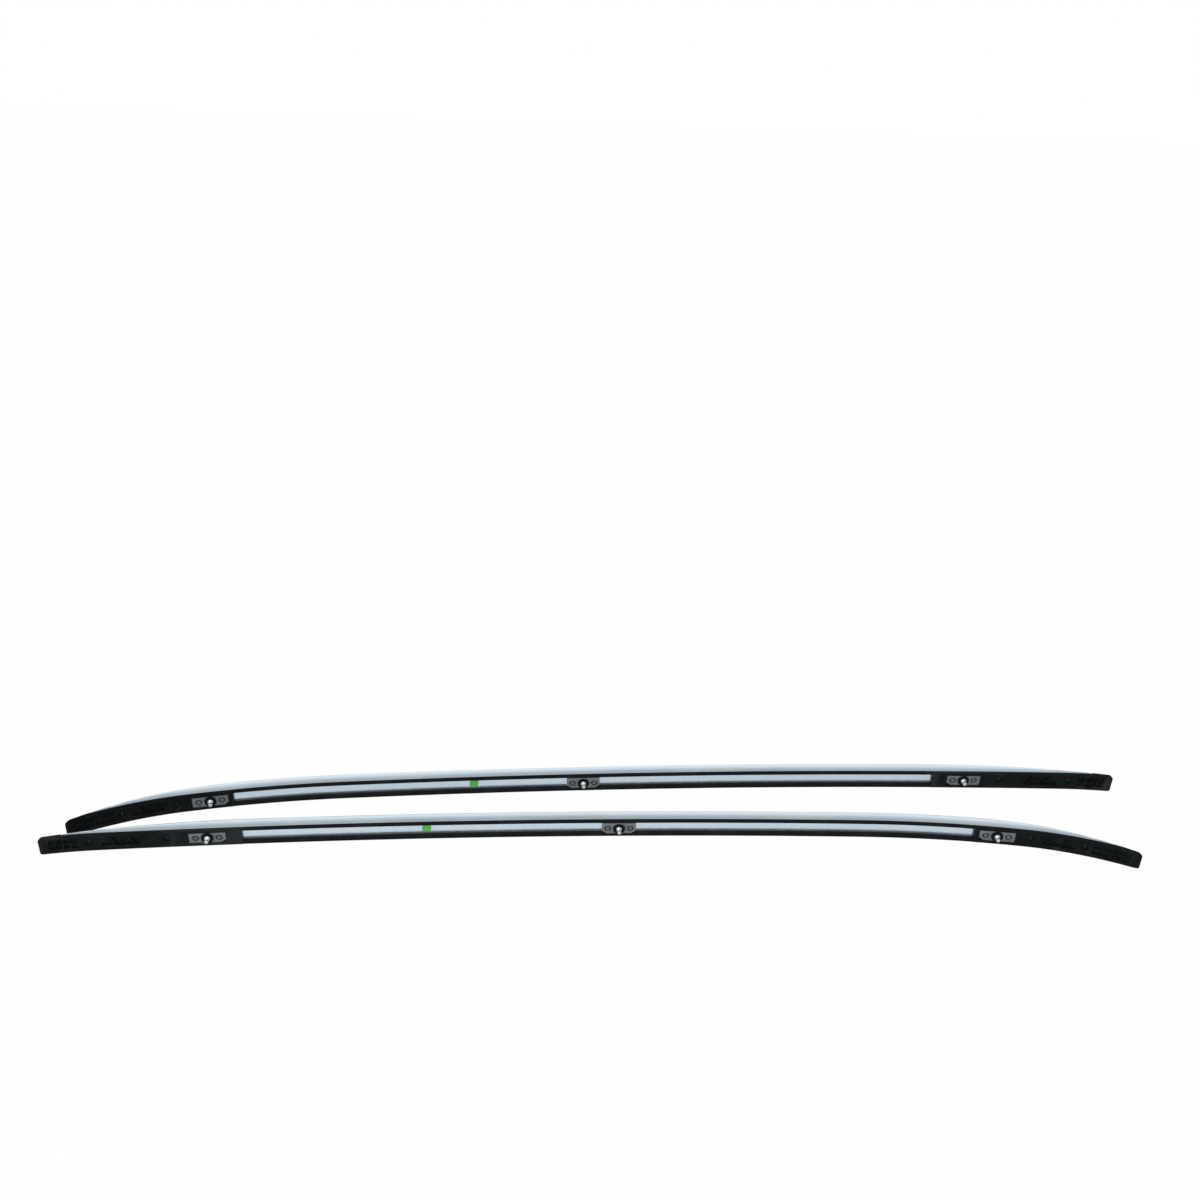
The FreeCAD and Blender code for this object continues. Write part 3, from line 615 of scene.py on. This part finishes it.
def screw(bm, place, head, height, seat, radius, end, key):
    """Screw with a rounded head and a six-lobed socket."""
    top = seat - height
    outline = [(0, top + height * 0.62), (key, top + height * 0.6), (key, top + 0.12), (key * 1.06, top)]
    outline += [(head * 0.62, top), (head * 0.8, top + height * 0.12), (head * 0.92, top + height * 0.32)]
    outline += [(head, top + height * 0.7), (head, seat - 0.1), (head - 0.1, seat), (radius, seat)]
    outline += [(radius, end - radius / 3), (radius * 2 / 3, end), (0, end)]

    def lobes(reach, level, angle):
        if reach <= key * 1.07 and level < seat - height * 0.3:
            return reach * (0.87 + 0.13 * math.cos(6 * angle))
        return reach

    lathe(bm, place, outline, 72, lobes, 4)


def bracket_screws(side, which):
    bm = bmesh.new()
    for shift in SCREW_SHIFTS:
        place = frame_at(side, STATIONS[which], BRACKET_ACROSS) @ Matrix.Translation((shift, 0, 0))
        screw(bm, place, 4.8, 2.4, 3.6, 3.0, 12.0, 2.6)
    name = f"{side}_{which}_bracket_screws"
    add_piece(f"{side}_{which}_socket_screws", bm, blackened, [name], sharp=40, second=steel)


def foot_screws(side, end, distances):
    bm = bmesh.new()
    for distance in distances:
        station = FRONT_TIP + distance if end == "front" else REAR_TIP - distance
        screw(bm, frame_at(side, station), 3.8, 1.8, 3.0, 2.0, 8.4, 2.0)
    name = f"{side}_{end}_foot_screws"
    add_piece(f"{side}_{end}_small_screws", bm, blackened, [name], sharp=40, second=blackened)


def paint_mark(side, station, across, skew):
    """Dab of marking paint on the floor of the channel, with an uneven outline."""
    bm = bmesh.new()
    rim = []
    count = 40
    for number in range(count):
        angle = 2 * math.pi * number / count
        c, s = math.cos(angle), math.sin(angle)
        reach = 1 / (abs(c) ** 5 + abs(s) ** 5) ** 0.2
        wave = 1 + 0.03 * math.sin(5 * angle + skew) + 0.02 * math.sin(9 * angle)
        rim.append((7.6 * reach * c * wave + skew * 2.0 * s, across + 6.4 * reach * s * wave))
    rings = []
    for shrink, level in ((1.0, 6.02), (1.0, 5.95), (0.96, 5.9), (0.6, 5.87)):
        ring = []
        for run, height in rim:
            place = frame_at(side, station + run * shrink * SIDES[side][0])
            ring.append(bm.verts.new(place @ Vector((0, level, across + (height - across) * shrink))))
        rings.append(ring)
    for one, two in zip(rings, rings[1:]):
        for i in range(count):
            j = (i + 1) % count
            bm.faces.new((one[i], one[j], two[j], two[i]))
    bm.faces.new(rings[0])
    bm.faces.new(rings[-1])
    add_piece(f"{side}_paint_mark", bm, paint)


for side in SIDES:
    profile(side)
    seal(side, "outer", 1)
    seal(side, "inner", -1)
    for which in STATIONS:
        stud(side, which)
        stud_seal(side, which)
        bracket_screws(side, which)
        broken_edges(f"{side}_{which}_block", f"{side}_{which}_bracket", 0.25, cast, cast)
    for end, distances in FOOT_SCREWS.items():
        foot_screws(side, end, distances)
        # The rounded edges of each foot take the paler plastic as a painted highlight.
        broken_edges(f"{side}_{end}_moulding", f"{side}_{end}_foot", 0.4, plastic, edge_highlight)
for side, (station, skew) in PAINT_MARKS.items():
    paint_mark(side, station, 0.5, skew)


def studio():
    """White floor that keeps the shadow, a pale room and soft lights."""
    bm = bmesh.new()
    bmesh.ops.create_grid(bm, x_segments=4, y_segments=4, size=6)
    mesh = bpy.data.meshes.new("floor")
    bm.to_mesh(mesh)
    bm.free()
    floor = bpy.data.objects.new("floor", mesh)
    scene.collection.objects.link(floor)
    material = bpy.data.materials.new("floor")
    material.use_nodes = True
    tree = material.node_tree
    surface = tree.nodes["Principled BSDF"]
    surface.inputs["Base Color"].default_value = (0.66, 0.68, 0.70, 1)
    surface.inputs["Roughness"].default_value = 0.9
    glow = tree.nodes.new("ShaderNodeEmission")
    glow.inputs["Color"].default_value = (1, 1, 1, 1)
    glow.inputs["Strength"].default_value = 1.0
    path = tree.nodes.new("ShaderNodeLightPath")
    share = tree.nodes.new("ShaderNodeMath")
    share.operation = "MULTIPLY"
    share.inputs[1].default_value = FLOOR_GLOW
    mix = tree.nodes.new("ShaderNodeMixShader")
    tree.links.new(path.outputs["Is Camera Ray"], share.inputs[0])
    tree.links.new(share.outputs["Value"], mix.inputs["Fac"])
    tree.links.new(surface.outputs["BSDF"], mix.inputs[1])
    tree.links.new(glow.outputs["Emission"], mix.inputs[2])
    tree.links.new(mix.outputs["Shader"], tree.nodes["Material Output"].inputs["Surface"])
    mesh.materials.append(material)

    world = bpy.data.worlds.new("room")
    scene.world = world
    world.use_nodes = True
    tree = world.node_tree
    tree.nodes.clear()
    output = tree.nodes.new("ShaderNodeOutputWorld")
    where = tree.nodes.new("ShaderNodeTexCoord")
    parts = tree.nodes.new("ShaderNodeSeparateXYZ")
    ramp = tree.nodes.new("ShaderNodeValToRGB")
    while len(ramp.color_ramp.elements) < len(ROOM_STOPS):
        ramp.color_ramp.elements.new(0.5)
    for element, (position, level) in zip(ramp.color_ramp.elements, ROOM_STOPS):
        element.position = position
        element.color = (level * 0.97, level * 0.99, level, 1)
    room = tree.nodes.new("ShaderNodeBackground")
    white = tree.nodes.new("ShaderNodeBackground")
    white.inputs["Color"].default_value = (1, 1, 1, 1)
    path = tree.nodes.new("ShaderNodeLightPath")
    mix = tree.nodes.new("ShaderNodeMixShader")
    tree.links.new(where.outputs["Generated"], parts.inputs["Vector"])
    tree.links.new(parts.outputs["Z"], ramp.inputs["Fac"])
    tree.links.new(ramp.outputs["Color"], room.inputs["Color"])
    tree.links.new(path.outputs["Is Camera Ray"], mix.inputs["Fac"])
    tree.links.new(room.outputs["Background"], mix.inputs[1])
    tree.links.new(white.outputs["Background"], mix.inputs[2])
    tree.links.new(mix.outputs["Shader"], output.inputs["Surface"])

    for name, spot, target, size, power in (
        ("key", (-0.9, -1.6, 2.4), (0, 0, 0), 1.6, 42),
        ("fill", (1.4, -2.2, 1.5), (0, 0, 0), 1.4, 18),
    ):
        data = bpy.data.lights.new(name, "AREA")
        data.shape = "DISK"
        data.size = size
        data.energy = power
        light = bpy.data.objects.new(name, data)
        light.location = spot
        light.rotation_euler = (Vector(target) - Vector(spot)).to_track_quat("-Z", "Y").to_euler()
        scene.collection.objects.link(light)


studio()

lens = bpy.data.cameras.new("camera")
lens.lens = 39
lens.sensor_width = 36
lens.sensor_fit = "HORIZONTAL"
lens.clip_end = 50
camera = bpy.data.objects.new("camera", lens)
tilt = Matrix.Rotation(math.pi / 2 - CAMERA_PITCH, 4, "X") @ Matrix.Rotation(CAMERA_ROLL, 4, "Z")
camera.matrix_world = Matrix.Translation(CAMERA_SPOT) @ tilt
scene.collection.objects.link(camera)
scene.camera = camera
scene.view_settings.view_transform = "Standard"
